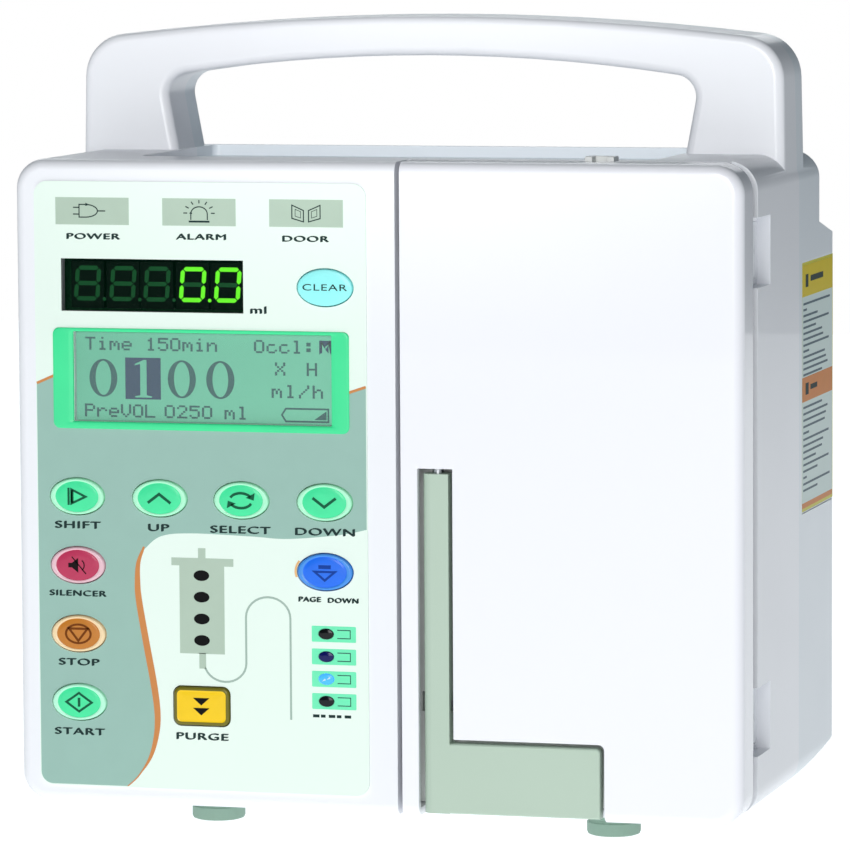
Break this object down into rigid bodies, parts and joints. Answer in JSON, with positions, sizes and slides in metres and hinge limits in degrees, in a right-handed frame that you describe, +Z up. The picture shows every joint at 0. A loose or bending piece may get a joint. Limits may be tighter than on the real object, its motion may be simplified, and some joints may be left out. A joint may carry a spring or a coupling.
{
  "type": "infusion pump",
  "caption": "Bedside infusion pump with a carrying handle, keypad and displays, a hinged pump door with an L-shaped latch lever, and a pole clamp behind.",
  "frame": {"origin": "on the floor under the middle of the whole object, feet at z = 0", "axes": "+X to the right seen from the front, +Y to the back, +Z up; the control face looks along -Y"},
  "size_m": [0.2, 0.1642, 0.22],
  "materials": {
    "casing_white": "fine satin moulded ABS",
    "door_white": "smooth moulded ABS",
    "lever_grey_green": "satin moulded plastic",
    "overlay_print": "printed polyester keypad film",
    "bezel_mint": "printed mint frame",
    "display_glass": "clear acrylic window",
    "display_dark": "dark filter acrylic",
    "lcd_panel": "reflective liquid crystal panel",
    "lamp_lens": "tinted lamp lens",
    "key_green": "domed printed key",
    "key_red": "domed printed key",
    "key_orange": "domed printed key",
    "key_blue": "domed printed key",
    "key_cyan": "domed printed key",
    "key_yellow": "domed printed key",
    "circuit_board": "glass-epoxy laminate with parts",
    "switch_black": "moulded nylon",
    "steel": "bright steel",
    "aluminium": "die-cast, satin",
    "pump_plastic": "acetal",
    "finger_plastic": "acetal",
    "belt_rubber": "neoprene",
    "foot_rubber": "soft moulded rubber",
    "cell_wrap": "shrink-wrapped cells",
    "knob_black": "textured nylon"
  },
  "bodies": {
    "root": {"front_housing": "casing_white", "rear_housing": "casing_white", "control_overlay": "overlay_print", "lcd_bezel": "bezel_mint", "lcd_window": "display_glass", "lcd_module": "lcd_panel", "led_window": "display_dark", "led_display": "display_dark", "indicator_lamps": "lamp_lens", "display_board": "circuit_board", "tact_switches": "switch_black", "strike_plates": "steel", "hinge_leaves": "steel", "hinge_pins": "steel", "bay_plate": "aluminium", "pressure_sensor": "switch_black", "air_sensor": "switch_black", "tube_guides": "pump_plastic", "pump_frame": "aluminium", "camshaft_bearings": "steel", "drive_motor": "switch_black", "drive_belt": "belt_rubber", "main_board": "circuit_board", "power_supply_board": "circuit_board", "battery_pack": "cell_wrap", "battery_cover": "casing_white", "speaker": "switch_black", "power_inlet": "switch_black", "rubber_feet": "foot_rubber", "housing_screws": "steel", "clamp_bolts": "steel", "clamp_body": "aluminium"},
    "door": {"door_panel": "door_white", "door_inner_plate": "pump_plastic", "platen_springs": "steel"},
    "platen": {"platen": "pump_plastic"},
    "latch": {"latch_lever": "lever_grey_green", "latch_shaft": "steel"},
    "cam_drive": {"camshaft": "steel", "cam_pulley": "aluminium"},
    "motor_rotor": {"motor_pulley": "aluminium"},
    "clamp_jaw": {"clamp_pad": "aluminium"},
    "clamp_screw": {"clamp_screw": "knob_black"},
    "rocker": {"power_rocker": "switch_black"},
    "shift_key": {"shift_key": "key_green"},
    "up_key": {"up_key": "key_green"},
    "select_key": {"select_key": "key_green"},
    "down_key": {"down_key": "key_green"},
    "silence_key": {"silence_key": "key_red"},
    "page_key": {"page_key": "key_blue"},
    "stop_key": {"stop_key": "key_orange"},
    "start_key": {"start_key": "key_green"},
    "clear_key": {"clear_key": "key_cyan"},
    "purge_key": {"purge_key": "key_yellow"},
    "pump_finger_1": {"pump_finger_1": "finger_plastic"},
    "pump_finger_2": {"pump_finger_2": "finger_plastic"},
    "pump_finger_3": {"pump_finger_3": "finger_plastic"},
    "pump_finger_4": {"pump_finger_4": "finger_plastic"},
    "pump_finger_5": {"pump_finger_5": "finger_plastic"},
    "pump_finger_6": {"pump_finger_6": "finger_plastic"}
  },
  "joints": [
    {"name": "door_swing", "type": "hinge", "parent": "root", "child": "door", "pos_m": [0.0966, -0.06655, 0.096], "axis": [0, 0, 1], "range_deg": [0, 95]},
    {"name": "latch_turn", "type": "hinge", "parent": "door", "child": "latch", "pos_m": [0.01675, -0.07695, 0.055], "axis": [0, 0, -1], "range_deg": [0, 50]},
    {"name": "platen_press", "type": "slide", "parent": "door", "child": "platen", "axis": [0, -1, 0], "range_m": [0, 0.0012], "stiffness_N_per_m": 2000, "springref_m": -0.001, "deforming": ["platen_springs"]},
    {"name": "cam_spin", "type": "hinge", "parent": "root", "child": "cam_drive", "pos_m": [0.0585, -0.03895, 0.096], "axis": [0, 0, 1], "continuous": true},
    {"name": "motor_spin", "type": "hinge", "parent": "root", "child": "motor_rotor", "pos_m": [0.022, -0.03895, 0.059], "axis": [0, 0, 1], "continuous": true},
    {"name": "jaw_slide", "type": "slide", "parent": "root", "child": "clamp_jaw", "axis": [1, 0, 0], "range_m": [0, 0.016]},
    {"name": "screw_turn", "type": "hinge", "parent": "clamp_jaw", "child": "clamp_screw", "pos_m": [0.04, 0.06505, 0.0965], "axis": [1, 0, 0], "range_deg": [0, 1908]},
    {"name": "rocker_tilt", "type": "hinge", "parent": "root", "child": "rocker", "pos_m": [-0.06, 0.03655, 0.065], "axis": [1, 0, 0], "range_deg": [0, 16]},
    {"name": "shift_press", "type": "slide", "parent": "root", "child": "shift_key", "axis": [0, 1, 0], "range_m": [0, 0.0005], "stiffness_N_per_m": 1500, "springref_m": -0.0003},
    {"name": "up_press", "type": "slide", "parent": "root", "child": "up_key", "axis": [0, 1, 0], "range_m": [0, 0.0005], "stiffness_N_per_m": 1500, "springref_m": -0.0003},
    {"name": "select_press", "type": "slide", "parent": "root", "child": "select_key", "axis": [0, 1, 0], "range_m": [0, 0.0005], "stiffness_N_per_m": 1500, "springref_m": -0.0003},
    {"name": "down_press", "type": "slide", "parent": "root", "child": "down_key", "axis": [0, 1, 0], "range_m": [0, 0.0005], "stiffness_N_per_m": 1500, "springref_m": -0.0003},
    {"name": "silence_press", "type": "slide", "parent": "root", "child": "silence_key", "axis": [0, 1, 0], "range_m": [0, 0.0005], "stiffness_N_per_m": 1500, "springref_m": -0.0003},
    {"name": "page_press", "type": "slide", "parent": "root", "child": "page_key", "axis": [0, 1, 0], "range_m": [0, 0.0005], "stiffness_N_per_m": 1500, "springref_m": -0.0003},
    {"name": "stop_press", "type": "slide", "parent": "root", "child": "stop_key", "axis": [0, 1, 0], "range_m": [0, 0.0005], "stiffness_N_per_m": 1500, "springref_m": -0.0003},
    {"name": "start_press", "type": "slide", "parent": "root", "child": "start_key", "axis": [0, 1, 0], "range_m": [0, 0.0005], "stiffness_N_per_m": 1500, "springref_m": -0.0003},
    {"name": "clear_press", "type": "slide", "parent": "root", "child": "clear_key", "axis": [0, 1, 0], "range_m": [0, 0.0005], "stiffness_N_per_m": 1500, "springref_m": -0.0003},
    {"name": "purge_press", "type": "slide", "parent": "root", "child": "purge_key", "axis": [0, 1, 0], "range_m": [0, 0.0005], "stiffness_N_per_m": 1500, "springref_m": -0.0003},
    {"name": "finger_push_1", "type": "slide", "parent": "root", "child": "pump_finger_1", "axis": [0, -1, 0], "range_m": [0, 0.0024], "stiffness_N_per_m": 300},
    {"name": "finger_push_2", "type": "slide", "parent": "root", "child": "pump_finger_2", "axis": [0, -1, 0], "range_m": [0, 0.0024], "stiffness_N_per_m": 300},
    {"name": "finger_push_3", "type": "slide", "parent": "root", "child": "pump_finger_3", "axis": [0, -1, 0], "range_m": [0, 0.0024], "stiffness_N_per_m": 300},
    {"name": "finger_push_4", "type": "slide", "parent": "root", "child": "pump_finger_4", "axis": [0, -1, 0], "range_m": [0, 0.0024], "stiffness_N_per_m": 300},
    {"name": "finger_push_5", "type": "slide", "parent": "root", "child": "pump_finger_5", "axis": [0, -1, 0], "range_m": [0, 0.0024], "stiffness_N_per_m": 300},
    {"name": "finger_push_6", "type": "slide", "parent": "root", "child": "pump_finger_6", "axis": [0, -1, 0], "range_m": [0, 0.0024], "stiffness_N_per_m": 300}
  ],
  "couplings": [
    {"joint": "motor_spin", "follows": "cam_spin", "ratio": 2},
    {"joint": "jaw_slide", "follows": "screw_turn", "m_per_rad": 0.00047746}
  ]
}
